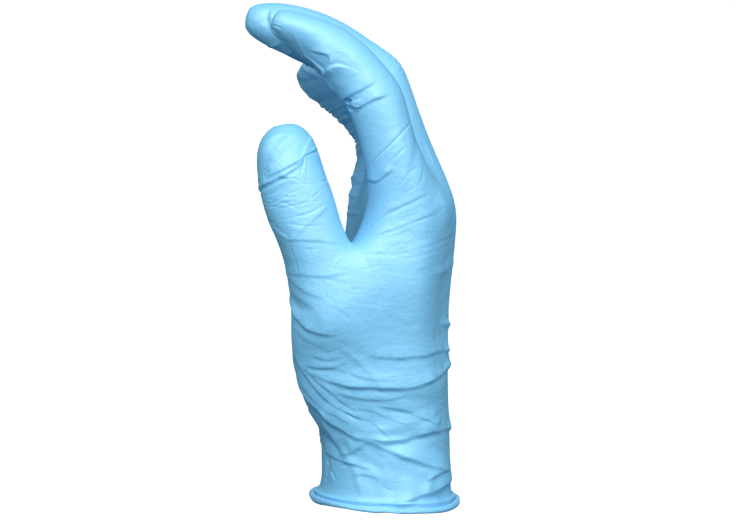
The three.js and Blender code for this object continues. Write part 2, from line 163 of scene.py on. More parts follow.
def wander(bearing, seed, waves):
    """A smooth random value that comes back to itself after a turn round the cuff."""
    return noise.noise(Vector((waves * math.cos(bearing), waves * math.sin(bearing), seed)))


def roll_point(x, y, rim, step):
    """A point of the bead on the bearing of (x, y): step -1 is the groove, and then come the turns."""
    bearing = math.atan2(y, x)
    front = math.exp(-(((math.degrees(bearing) - FRONT_BEARING) / FRONT_WIDTH) ** 2))
    thickness = 1 - 0.06 * math.cos(bearing) - FRONT_THINNER * front + 0.3 * wander(bearing, 1.5, 2.6)
    radius = ROLL_RADIUS * thickness
    up = ROLL_UP - FRONT_LOWER * front + 0.7 * wander(bearing, 5.5, 1.9) + 0.3 * wander(bearing, 2.5, 4)
    out = ROLL_OUT + 0.5 * wander(bearing, 9.5, 2.3)
    if step < 0:
        outward, height = GROOVE[0] - 0.3 * front, GROOVE[1] + 0.9 * front + up - ROLL_UP
    else:
        turn = math.radians(ROLL_TURNS[step])
        outward, height = out + radius * math.cos(turn), up + radius * math.sin(turn)
    reach = rim(bearing) + outward
    return reach * math.cos(bearing), reach * math.sin(bearing), height


def open_edges(obj):
    """The vertices on the edge loop nearest the cuff's mouth, left selected."""
    pick(obj)
    bpy.ops.object.mode_set(mode="EDIT")
    bpy.ops.mesh.select_mode(type="EDGE")
    bpy.ops.mesh.select_all(action="DESELECT")
    bpy.ops.mesh.select_non_manifold(extend=False, use_multi_face=False)
    bpy.ops.object.mode_set(mode="OBJECT")
    return [v.index for v in obj.data.vertices if v.select]


edge = points_of(film)[open_edges(film)]
bearings = np.arctan2(edge[:, 1], edge[:, 0])
order = np.argsort(bearings)
rim_bearings, rim_reaches = bearings[order], np.hypot(edge[:, 0], edge[:, 1])[order]


def rim(bearing):
    return float(np.interp(bearing, rim_bearings, rim_reaches, period=2 * math.pi))


for step in range(-1, len(ROLL_TURNS)):
    bpy.ops.object.mode_set(mode="EDIT")
    bpy.ops.mesh.extrude_edges_move()
    bpy.ops.object.mode_set(mode="OBJECT")
    for vertex in film.data.vertices:
        if vertex.select:
            vertex.co = Vector(roll_point(vertex.co.x, vertex.co.y, rim, step)) * MM
print("bead loops", len(ROLL_TURNS) + 1)

# %% Close the bead on the lining
collar = copy_of(lining, "collar")
delete_faces(collar, lambda centre: centre.z > COLLAR_TOP * MM)
delete_faces(lining, lambda centre: centre.z < LINING_FOOT * MM)
pick(film, collar)
bpy.ops.object.join()
bpy.ops.object.mode_set(mode="EDIT")
bpy.ops.mesh.select_mode(type="EDGE")
bpy.ops.mesh.select_all(action="DESELECT")
bpy.ops.mesh.select_non_manifold(extend=False, use_multi_face=False)
bpy.ops.object.mode_set(mode="OBJECT")
for edge in film.data.edges:
    ends = [film.data.vertices[i].co.z for i in edge.vertices]
    edge.select = edge.select and max(ends) < BRIDGE_TOP * MM
bpy.ops.object.mode_set(mode="EDIT")
bpy.ops.mesh.bridge_edge_loops()
bpy.ops.mesh.select_all(action="SELECT")
bpy.ops.mesh.normals_make_consistent(inside=False)
bpy.ops.object.mode_set(mode="OBJECT")

# %% [markdown]
# ## The cuff's flare and tilt
# A worn glove's mouth isn't level. It flares where it runs into the bead, most on the palm's side, and it
# rises towards the palm and sinks a little towards the back.

# %% Shape the cuff's mouth
FLARE_PALM, FLARE_BACK, FLARE_SIDES = 1.3, 0.35, 0.2
FLARE_HEIGHT = 2.4
TILT_PALM, TILT_BACK = 1.35, 0.35
TILT_HEIGHT = 12
CUFF_HALF_DEPTH = 24
MOUTH_TOP = 4


def shape_mouth(obj):
    points = points_of(obj)
    height = np.clip(points[:, 2] - MOUTH_TOP, 0, None)
    near = np.exp(-((height / FLARE_HEIGHT) ** 2))
    reach = np.hypot(points[:, 0], points[:, 1])
    side = points[:, 0] / reach
    most = np.where(side < 0, FLARE_PALM, FLARE_BACK)
    flare = near * (FLARE_SIDES + (most - FLARE_SIDES) * np.abs(side) ** 3)
    points[:, :2] *= (1 + flare / reach)[:, None]
    level = np.exp(-((height / TILT_HEIGHT) ** 2))
    points[:, 2] -= np.where(side < 0, TILT_PALM, TILT_BACK) * level * points[:, 0] / CUFF_HALF_DEPTH
    move_points(obj, points)


shape_mouth(film)
shape_mouth(lining)

# the lining is drawn in from the skin, so that the deepest folds don't come through it
LINING_TUCK = 1.2
TUCK_FROM, TUCK_OVER = 12, 10
tuck = LINING_TUCK * np.clip((points_of(lining)[:, 2] - TUCK_FROM) / TUCK_OVER, 0, 1)
move_points(lining, points_of(lining) + normals_of(lining) * tuck[:, None])

# %% [markdown]
# ## The glove's soft forms
# A worn glove is full at the ball of the thumb and hollow below it, and flat between the thumb and the
# knuckles. These forms are soft and broad, so they are pushed out of the film and its lining while both are
# still coarse.


# %% Mould the soft forms
def line_of_sight(column, row):
    """Where the eye is, and where it looks, for a place in the picture."""
    across = (column - PICTURE_WIDTH / 2) * MM_PER_PIXEL
    down = (row - PICTURE_HEIGHT / 2) * MM_PER_PIXEL
    to = camera.matrix_world @ Vector((across * MM, -down * MM, -CAMERA_DISTANCE))
    start = camera.matrix_world.translation
    return start / MM, (to - start).normalized()


# column, row, radius, height, and the way it is pushed, or None for straight out of the film
MOULDS = [
    (334, 326, 14, 6.8, None),
    (338, 352, 10, -2.2, None),
    (381, 318, 9, -1.2, None),
    (402, 286, 15, 2.8, None),
    (444, 310, 10, -1.0, None),
    (445, 203, 9, 6.0, (0.25, -1, 0)),
    (418, 118, 8, 2.0, (0, -1, 0)),
    (395, 62, 5, 1.6, (0.6, -0.2, 0.8)),
    (298, 338, 10, 1.3, (-1, 0, 0)),
    (284, 256, 9, 1.3, (1, 0, 0)),
    (290, 51, 7, 1.6, (-0.5, 0, -0.8)),
    (328, 200, 9, 1.5, (1, 0, 0.3)),
    (297, 51, 7, 3.0, (0, 1, 0)),
    (268, 148, 7, 1.6, (-0.5, -1, 0)),
    (253, 14, 5, 0.9, (0.6, 0, -0.6)),
    (350, 206, 7, 1.1, (1, 0, 0)),
]
coarse = points_of(film)
coarse_tree = BVHTree.FromPolygons(
    [Vector(p) for p in coarse], [tuple(p.vertices) for p in film.data.polygons]
)
pushes = []
for column, row, radius, height, way in MOULDS:
    point, normal, _, _ = coarse_tree.ray_cast(*line_of_sight(column, row))
    pushes.append((np.array(point), radius, height * np.array(way or normal)))
for obj in (film, lining):
    points = points_of(obj)
    moved = points.copy()
    for centre, radius, push in pushes:
        near = np.exp(-(((points - centre) ** 2).sum(1) / radius**2))
        moved += near[:, None] * push
    move_points(obj, moved)
print("moulded", len(pushes), "soft forms")

# %% Round the film off and make it fine enough for folds
FINE = 4


def subdivide(obj, levels):
    pick(obj)
    rounding = obj.modifiers.new("rounding", "SUBSURF")
    rounding.levels = rounding.render_levels = levels
    bpy.ops.object.modifier_apply(modifier="rounding")


guide = copy_of(film, "guide")
subdivide(guide, 2)
guide_points = points_of(guide)
guide_tree = BVHTree.FromPolygons(
    [Vector(p) for p in guide_points], [tuple(p.vertices) for p in guide.data.polygons]
)
bpy.data.objects.remove(guide)
subdivide(film, FINE)
skin_points, skin_normals = points_of(film), normals_of(film)
by_height = np.argsort(skin_points[:, 2])
heights_in_order = skin_points[by_height, 2]
lift = np.zeros(len(skin_points))
lap = np.zeros((len(skin_points), 3))
print("fine skin", len(film.data.polygons), "faces")

# %% [markdown]
# ## How a fold is laid
# A fold follows a route over the film. The route's points are given on one side of the glove, and cast onto
# the film along that side's line of sight, so that they lie on it from every side. Each end is then run on over
# the surface, where the fold dies away. Across the route the film has a profile: a ridge with one steep side
# that laps over, a crease with a shoulder on each side, or a plain soft swell.


# %% Routes over the film
SIDES = {
    "thumb": lambda place: line_of_sight(place[0], place[1]),
    "little": lambda place: (Vector((place[0], 300, place[1])), Vector((0, -1, 0))),
    "palm": lambda place: (Vector((-300, place[0], place[1])), Vector((1, 0, 0))),
    "round": lambda place: around_cuff(*place[:2]),
}


def around_cuff(bearing, height):
    out = Vector((math.cos(math.radians(bearing)), math.sin(math.radians(bearing)), 0))
    return out * 200 + Vector((0, 0, height)), -out


def spline(places, spacing):
    """Points along a smooth curve through the places."""
    rows = np.array(places, float)
    rows = np.vstack([2 * rows[0] - rows[1], rows, 2 * rows[-1] - rows[-2]])
    out = []
    for a, b, c, d in zip(rows, rows[1:], rows[2:], rows[3:]):
        count = max(2, int(np.linalg.norm((c - b)[:2]) / spacing))
        for t in np.arange(count) / count:
            out.append(
                0.5
                * (2 * b + (c - a) * t + (2 * a - 5 * b + 4 * c - d) * t * t + (3 * b - a - 3 * c + d) * t**3)
            )
    out.append(rows[-2])
    return np.array(out)


CAST_SPACING = 1.2
LONGEST_JUMP = 6
FEWEST_HITS = 3


def cast(side, places):
    """The route's points on the film, up to the first place where it leaves what it started on."""
    hits = []
    for place in spline(places, CAST_SPACING):
        start, along = SIDES[side](place)
        point = guide_tree.ray_cast(start, along)[0]
        if point is None or (hits and (point - hits[-1]).length > LONGEST_JUMP):
            if len(hits) > FEWEST_HITS:
                break
            hits = []
            continue
        hits.append(point)
    return hits


STEP = 0.5


def run_on(point, heading, length, turn=0.0):
    """Walks over the film from a point, and returns the points that it passes."""
    path = []
    for _ in range(int(length / STEP)):
        normal = guide_tree.find_nearest(point)[1]
        heading = (heading - normal * heading.dot(normal)).normalized()
        if turn:
            heading = (heading + normal.cross(heading) * turn).normalized()
        point = guide_tree.find_nearest(point + heading * STEP)[0]
        path.append(point)
    return path


def resample(points):
    rows = np.array([tuple(p) for p in points])
    spans = np.linalg.norm(np.diff(rows, axis=0), axis=1)
    far = np.concatenate([[0], np.cumsum(spans)])
    at = np.arange(0, far[-1], STEP)
    return np.stack([np.interp(at, far, rows[:, k]) for k in range(3)], axis=1)


def smooth(rows, rounds=2):
    for _ in range(rounds):
        rows = rows.copy()
        rows[1:-1] = (rows[:-2] + 2 * rows[1:-1] + rows[2:]) / 4
    return rows


# %% Profiles across a fold
def ridge(x, lean):
    """A ridge. Lean is the side it is steep on, 1 for the left of the route, -1 for the right, 0 for both."""
    if lean == 0:
        return np.exp(-np.abs(x / 0.75) ** 1.7)
    y = x * lean
    gentle = np.exp(-np.abs(np.minimum(y, 0) / 2.6) ** 1.25)
    steep = np.exp(-np.abs(np.maximum(y, 0) / 0.75) ** 1.7)
    return gentle * steep - 0.25 * np.exp(-(((y - 1.4) / 0.8) ** 2))


def crease(x, lean):
    """A crease with a shoulder on each side, the higher one on the side that it leans to."""
    shoulders = [(0.3 + 0.25 * side * lean) * np.exp(-(((x - 1.3 * side) / 0.9) ** 2)) for side in (1, -1)]
    return sum(shoulders) - np.exp(-np.abs(x / 0.45) ** 1.6)


def swell(x, lean):
    return np.exp(-(x**2))


PROFILES = {"ridge": ridge, "crease": crease, "swell": swell}
LAP_SHARE = 0.22
HEIGHT_SHARE = {"ridge": 0.66, "crease": 0.7, "swell": 1.0}


# %% Press a fold into the film
REACH = 5
SAME_SIDE = 0.15
DEPTH_BAND = 5
TAIL_MORE = 1.5
TAIL_BREADTHS = 3
WAVER, WAVER_RATE = 0.8, 0.2
DRIFT, DRIFT_RATE = 0.5, 0.11
BATCH = 16


def press(points, kind, height, breadth, lean, tails, seed):
    """Adds one fold along the route to the film's lift and lap, in millimetres."""
    route = smooth(resample(points))
    count = len(route)
    if count < 4:
        return
    headings = np.gradient(route, axis=0)
    headings /= np.linalg.norm(headings, axis=1)[:, None]
    normals = np.array([tuple(guide_tree.find_nearest(Vector(p))[1]) for p in route])
    normals = smooth(normals, 4)
    normals /= np.linalg.norm(normals, axis=1)[:, None]
    lefts = np.cross(normals, headings)
    at = np.arange(count) * STEP
    start = np.clip(at / max(tails[0] + TAIL_MORE, TAIL_BREADTHS * breadth), 0, 1)
    end = np.clip((at[-1] - at) / max(tails[1] + TAIL_MORE, TAIL_BREADTHS * breadth), 0, 1)
    strength = (start * end) ** 0.8
    waver = np.array([noise.noise(Vector((t * WAVER_RATE, seed, 0.5))) for t in at])
    strength *= HEIGHT_SHARE[kind] * (1 + WAVER * waver)
    drift = np.array([noise.noise(Vector((t * DRIFT_RATE, seed, 7.5))) for t in at])
    route = route + lefts * (DRIFT * breadth * drift)[:, None]

    reach = REACH * breadth
    found = []
    for first in range(0, count, BATCH):
        part = route[first : first + BATCH + 1]
        low, high = part.min(0) - reach, part.max(0) + reach
        from_row, to_row = np.searchsorted(heights_in_order, (low[2], high[2]))
        rows = by_height[from_row:to_row]
        inside = np.all((skin_points[rows, :2] > low[:2]) & (skin_points[rows, :2] < high[:2]), axis=1)
        found.append(rows[inside])
    near = np.unique(np.concatenate(found))
    if not len(near):
        return
    points = skin_points[near]
    best = np.full(len(near), np.inf)
    index = np.zeros(len(near), int)
    for first in range(0, count, BATCH):
        part = route[first : first + BATCH]
        gaps = ((points[:, None, :] - part[None]) ** 2).sum(2)
        least = gaps.argmin(1)
        gap = gaps[np.arange(len(near)), least]
        closer = gap < best
        best[closer] = gap[closer]
        index[closer] = first + least[closer]
    offset = points - route[index]
    same_side = (skin_normals[near] * normals[index]).sum(1) > SAME_SIDE
    keep = (best < reach**2) & same_side & (np.abs((offset * normals[index]).sum(1)) < DEPTH_BAND)
    fade = 1 - best[keep] / reach**2
    near, index, offset = near[keep], index[keep], offset[keep]
    along = (offset * headings[index]).sum(1)
    place = np.clip(index + along / STEP, 0, count - 1)
    force = np.interp(place, np.arange(count), strength)
    beyond = np.clip(np.abs(along) - STEP, 0, None)
    width = breadth * (0.55 + 0.45 * np.clip(force, 0, 1))
    aside = (offset * lefts[index]).sum(1) / width
    force = force * fade * np.exp(-((beyond / breadth) ** 2))
    lift[near] += height * force * PROFILES[kind](aside, lean)
    if lean and kind == "ridge":
        crest = height * force * np.exp(-((aside / 0.8) ** 2)) * LAP_SHARE * lean
        lap[near] += lefts[index] * crest[:, None]


laid = 0


def fold(side, kind, height, breadth, lean, tails, places):
    """One fold of the film: its places lie on one side, and its tails are how far each end runs on."""
    global laid
    laid += 1
    points = cast(side, places)
    if len(points) < 3:
        print("no film under", side, places[0])
        return
    before = run_on(points[0], points[0] - points[2], tails[0])
    after = run_on(points[-1], points[-1] - points[-3], tails[1])
    press([*reversed(before), *points, *after], kind, height, breadth, lean, tails, laid * 3.7)


# %% [markdown]
# ## Folds on the thumb's side
# These are the folds that the picture shows. Each line gives the kind of fold, its height and breadth in
# millimetres, the side it leans to, how far its two ends run on, and the places it passes in the picture.

# %% Folds of the index finger
INDEX_FOLDS = [
    ("ridge", 0.74, 1.1, -1, (1, 2), [(273, 9), (271, 15), (270.5, 21), (271.5, 27)]),
    ("swell", -0.64, 1.6, 0, (1, 2), [(268, 12), (267, 20), (268, 27)]),
    ("crease", 0.55, 0.8, 0, (0.5, 1), [(270, 27), (274, 26), (281, 28)]),
    ("ridge", 0.46, 0.9, 1, (1, 2), [(272, 30), (275, 33), (279, 38), (284, 42)]),
    ("ridge", 0.37, 1.0, 0, (3, 1), [(297, 40), (301, 50), (306, 57), (312, 61)]),
    ("ridge", 0.83, 1.0, 1, (1, 2), [(309, 59), (315, 64), (320, 68), (325, 73)]),
    ("swell", -0.83, 3.0, 0, (3, 3), [(283, 46), (293, 52), (303, 58), (312, 65)]),
    ("swell", -2.02, 2.8, 0, (1, 1), [(307, 60), (314, 67), (321, 73)]),
    ("ridge", 0.55, 0.9, -1, (1, 1), [(312, 51), (320, 52), (328, 54)]),
    ("swell", -0.83, 2.6, 0, (1, 1), [(317, 57), (322, 59), (326, 62)]),
    ("ridge", 1.01, 1.0, -1, (1, 1), [(328, 53), (331, 59), (329, 65), (325, 71)]),
    ("ridge", 0.74, 0.9, 1, (1, 5), [(322, 74), (327, 71), (332, 67.5), (338, 66.5), (345, 68)]),
    ("crease", 0.7, 0.9, 0, (2, 2), [(320, 75), (326, 79), (331, 86), (336, 93)]),
    ("swell", 0.7, 1.3, 0, (3, 2), [(324, 77), (329, 83), (335, 91)]),
    ("ridge", 0.62, 1.0, -1, (6, 3), [(341, 98.5), (347, 96), (355, 91.5), (363, 87.5), (371, 83)]),
    ("ridge", 0.78, 1.1, -1, (6, 3), [(350, 111), (357, 107), (365, 102.5), (373, 98), (382, 96)]),
    ("swell", -1.5, 1.8, 0, (3, 1), [(343, 105), (349, 107), (354, 108)]),
    ("swell", -2.6, 1.1, 0, (1, 1), [(343, 102), (351, 103)]),
    ("swell", -3, 1.1, 0, (1, 1), [(346, 108), (354, 109.5)]),
    ("swell", -2.4, 1.0, 0, (1, 1), [(346, 114.5), (353, 116)]),
    ("crease", 1.2, 0.8, 0, (2, 1), [(343, 99), (348, 104), (355, 108), (360, 109)]),
    ("crease", 1.1, 0.7, 0, (2, 1), [(343, 102), (347, 110), (352, 118)]),
    ("ridge", 0.7, 0.7, 1, (1, 1), [(344, 107), (350, 103), (356, 102), (361, 100.5)]),
    ("ridge", 0.62, 0.7, -1, (2, 1), [(342, 113), (348, 111), (354, 111.5)]),
    ("crease", 0.3, 0.8, 0, (2, 3), [(370, 166), (377, 158), (385, 150), (393, 142), (402, 132), (410, 124)]),
    ("crease", 0.18, 0.8, 0, (2, 2), [(389, 162), (397, 156), (404, 149)]),
    ("ridge", 0.81, 1.2, -1, (4, 2), [(360, 179.5), (368, 179.5), (376, 179.5), (382, 176), (391, 170)]),
    ("swell", -0.59, 2.4, 0, (3, 2), [(356, 186), (364, 185), (372, 184)]),
    ("swell", -0.44, 2.0, 0, (2, 1), [(358, 172), (364, 170), (370, 166)]),
    ("crease", 0.22, 0.9, 0, (1, 2), [(381, 180), (388, 174), (395, 167), (401, 159)]),
    ("crease", 0.18, 0.9, 0, (2, 3), [(397, 187), (403, 181), (410, 173), (417, 168)]),
    ("crease", 0.18, 0.9, 0, (2, 3), [(399, 196), (407, 192), (416, 187)]),
    ("swell", -0.37, 2.6, 0, (4, 5), [(410, 180), (415, 165), (418, 150), (416, 135)]),
    ("swell", 0.15, 1.8, 0, (4, 5), [(404, 180), (409, 165), (412, 150), (410, 136)]),
    ("crease", 0.15, 0.8, 0, (3, 3), [(419, 186), (423, 176), (424, 166)]),
    ("swell", 0.14, 1.2, 0, (3, 3), [(330, 38), (340, 46), (352, 57), (362, 68)]),
]

# %% Folds of the fingers behind it
FAR_FOLDS = [
    ("ridge", 0.9, 1.2, 0, (5, 6), [(304, 67), (306, 70), (309, 72)]),
    ("swell", -0.8, 1.6, 0, (5, 6), [(300, 82), (304, 82), (309, 81)]),
    ("ridge", 0.8, 1.3, 0, (5, 5), [(309, 97), (314, 95), (320, 92)]),
    ("swell", -0.6, 1.4, 0, (5, 5), [(318, 103), (324, 101), (331, 98)]),
    ("ridge", 0.8, 1.2, 0, (5, 5), [(328, 112), (333, 109), (339, 106)]),
    ("ridge", 1.0, 1.3, 0, (5, 5), [(341, 121), (344, 118), (347, 115)]),
    ("swell", -0.7, 1.3, 0, (5, 5), [(343, 127), (348, 125), (352, 122)]),
    ("ridge", 0.8, 1.2, 0, (5, 5), [(349, 136), (352, 134), (355, 131)]),
    ("ridge", 0.9, 1.2, 0, (5, 5), [(358, 151), (360, 150), (362, 149)]),
    ("swell", -0.7, 1.5, 0, (5, 5), [(357, 158), (360, 157), (363, 157)]),
    ("ridge", 0.9, 1.4, 0, (5, 5), [(351, 178), (355, 176), (360, 174)]),
    ("swell", -0.9, 1.6, 0, (5, 5), [(349, 187), (353, 187), (358, 187)]),
    ("ridge", 0.9, 1.5, 0, (5, 5), [(348, 195), (353, 196), (358, 197)]),
    ("ridge", 0.8, 1.5, 0, (5, 5), [(348, 214), (353, 214), (358, 213)]),
    ("ridge", 0.5, 1.1, 0, (5, 5), [(270, 47), (276, 45), (282, 42)]),
    ("ridge", 0.6, 1.0, 0, (5, 5), [(285, 57), (290, 54), (296, 50)]),
    ("swell", 0.8, 1.3, 0, (5, 5), [(398, 60), (400, 62), (402, 64)]),
    ("swell", 0.6, 1.2, 0, (5, 5), [(413, 105), (416, 104), (418, 103)]),
    ("swell", -0.5, 1.4, 0, (5, 5), [(417, 114), (419, 113), (421, 112)]),
    ("swell", 0.6, 1.2, 0, (5, 5), [(424, 133), (426, 132), (428, 131)]),
    ("swell", -0.5, 1.3, 0, (5, 5), [(428, 142), (430, 141), (432, 140)]),
    ("ridge", 0.35, 0.9, 0, (4, 4), [(428, 148), (431, 156), (434, 164)]),
]

# %% Folds of the thumb
THUMB_FOLDS = [
    ("ridge", 0.75, 1.1, -1, (2, 1), [(270, 174), (280, 169), (292, 162.5), (303, 157)]),
    (
        "ridge", 0.81, 1.0, -1, (7, 1),
        [(262, 186), (270, 181), (280, 175), (288, 171), (297, 165), (304, 158)],
    ),
    ("ridge", 0.5, 0.8, -1, (0.5, 1), [(279, 175), (284, 176.5), (290, 178)]),
    ("crease", 0.88, 0.7, 1, (0.5, 6), [(303, 157.5), (310, 154), (318, 150.5)]),
    ("ridge", 0.62, 0.9, 1, (1, 5), [(301, 158), (306, 149), (311, 139)]),
    ("crease", 0.44, 0.8, 1, (0.5, 2), [(304, 158), (303, 166), (300, 175)]),
    ("crease", 0.25, 0.7, 0, (1, 2), [(308, 160), (306, 168), (307, 176)]),
    ("swell", 0.38, 1.4, 0, (3, 3), [(300, 134), (287, 139), (280, 146), (274, 157), (271, 166)]),
    ("swell", 0.25, 1.2, 0, (3, 3), [(268, 140), (277, 134), (288, 132)]),
    ("crease", 0.3, 0.8, -1, (5, 2), [(263, 190), (270, 186), (279, 181.5), (288, 178.5), (296, 180)]),
    ("crease", 0.26, 0.8, -1, (1, 6), [(296, 180), (304, 183.5), (314, 184), (326, 181)]),
    ("crease", 0.21, 0.7, 0, (2, 2), [(268, 196), (277, 190.5), (284, 185)]),
    ("crease", 0.17, 0.7, 0, (1, 2), [(282, 196), (289, 197), (298, 197)]),
    ("crease", 0.39, 0.8, 0, (6, 1), [(264, 205.5), (269, 206), (275, 206)]),
    ("crease", 0.21, 0.8, 0, (1, 2), [(263, 202), (271, 204), (279, 200.5), (288, 195), (297, 190)]),
    ("crease", 0.17, 0.8, 0, (2, 3), [(284, 220), (296, 217), (310, 213), (322, 207)]),
    ("crease", 0.17, 0.7, 0, (2, 2), [(300, 205), (311, 199), (322, 190), (330, 187)]),
    ("ridge", 0.3, 0.9, -1, (1, 3), [(290, 240), (298, 233), (306, 225.5), (315, 217), (324, 209)]),
    ("ridge", 0.43, 0.9, 1, (6, 1), [(272, 226), (280, 233), (289, 240)]),
    ("ridge", 0.39, 0.9, -1, (1, 4), [(288, 240), (300, 239.5), (315, 240.5), (334, 242)]),
    ("crease", 0.17, 0.7, 1, (1, 2), [(290, 243), (292.5, 252), (295.5, 262), (298, 270)]),
    ("crease", 0.12, 0.8, 0, (1, 1), [(275, 243), (280, 252), (287, 259)]),
    ("ridge", 0.35, 1.0, -1, (8, 5), [(286, 272), (295, 274), (309, 274.5), (325, 275), (342, 272)]),
    ("ridge", 0.35, 1.0, -1, (8, 3), [(286, 275), (293, 282), (301, 288), (310, 293), (318, 296)]),
    ("swell", -0.23, 2.4, 0, (2, 3), [(283, 262), (290, 266), (300, 268)]),
    ("crease", 0.15, 0.6, 0, (3, 3), [(268, 212), (282, 208), (298, 205), (314, 202)]),
    ("crease", 0.15, 0.6, 0, (3, 3), [(276, 224), (288, 224), (304, 226), (320, 226)]),
    ("crease", 0.17, 0.6, 0, (2, 3), [(266, 198), (276, 202), (288, 204), (300, 210)]),
    ("crease", 0.2, 0.6, 0, (3, 3), [(286, 150), (281, 157), (278, 165)]),
    ("crease", 0.2, 0.6, 0, (3, 3), [(298, 141), (291, 147), (286, 154)]),
    ("crease", 0.1, 0.6, 0, (3, 3), [(296, 247), (308, 249), (322, 248)]),
    ("ridge", 0.17, 0.8, -1, (3, 3), [(290, 291), (300, 299), (310, 305)]),
]

# %% Folds between the thumb's root and the knuckles
HAND_FOLDS = [
    (
        "crease", 0.33, 1.1, 1, (2, 4),
        [(352, 239), (364, 230), (376, 222), (388, 214), (402, 207), (423, 198)],
    ),
    (
        "crease", 0.26, 0.9, 1, (2, 4),
        [(371, 238), (384, 233.5), (397, 229), (410, 224), (422, 220), (433, 215)],
    ),
    ("crease", 0.13, 0.9, 0, (2, 4), [(357, 244), (372, 242), (390, 238), (409, 232)]),
    ("crease", 0.13, 0.9, 0, (3, 4), [(368, 248), (387, 247), (407, 243), (424, 239)]),
    (
        "crease", 0.17, 0.9, 1, (1, 8),
        [(362, 254), (380, 254), (398, 254.5), (415, 251), (431, 246), (449, 238)],
    ),
    ("crease", 0.13, 0.9, 0, (2, 8), [(400, 259), (412, 257.5), (424, 255), (439, 250), (452, 244)]),
    ("swell", 0.13, 3.0, 0, (3, 4), [(372, 256), (388, 258), (404, 259)]),
    ("crease", 0.2, 1.7, 1, (1, 2), [(351, 238), (356, 246), (361, 254), (366, 262), (371, 273)]),
    ("swell", 0.38, 2.0, 0, (4, 8), [(438, 271), (446, 268), (452, 264)]),
    ("swell", -0.19, 2.2, 0, (4, 6), [(377, 262), (380, 280), (378, 300)]),
]

